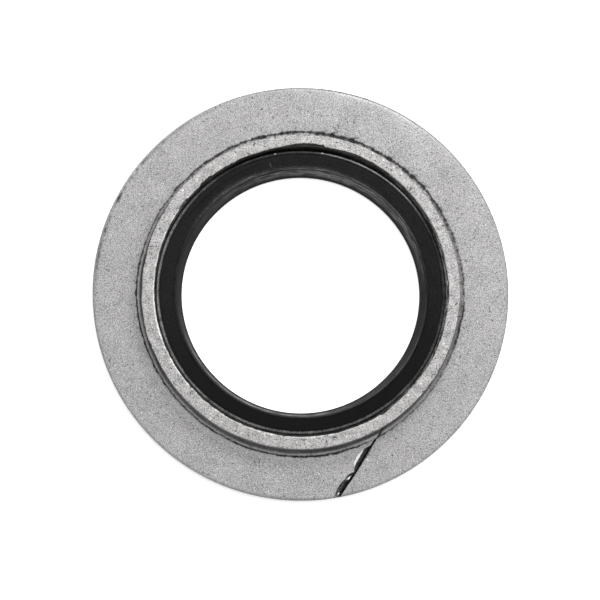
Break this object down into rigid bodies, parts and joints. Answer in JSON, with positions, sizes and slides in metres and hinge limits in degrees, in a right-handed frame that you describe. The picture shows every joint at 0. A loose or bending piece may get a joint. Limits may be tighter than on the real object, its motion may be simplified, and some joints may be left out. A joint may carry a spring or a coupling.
{
  "type": "flanged bushing washer",
  "caption": "Flanged bushing washer: a pressed metal ring with a flat flange and a short hub, lined with black rubber that narrows to a lip. The flange is split along an oblique line.",
  "frame": {"origin": "centre of the flange's back face, on the axis", "axes": "+Z along the axis, from the flange's back towards the hub's end face; the split runs out at about 282 degrees from +X"},
  "size_m": [0.06, 0.06, 0.0056],
  "materials": {
    "grey_metal": "matte grey, finely grained, with small dark pits",
    "black_rubber": "smooth black, slightly glossy, with fine moulding lines round it"
  },
  "bodies": {
    "root": {"flanged_sleeve": "grey_metal", "rubber_liner": "black_rubber"}
  },
  "joints": []
}
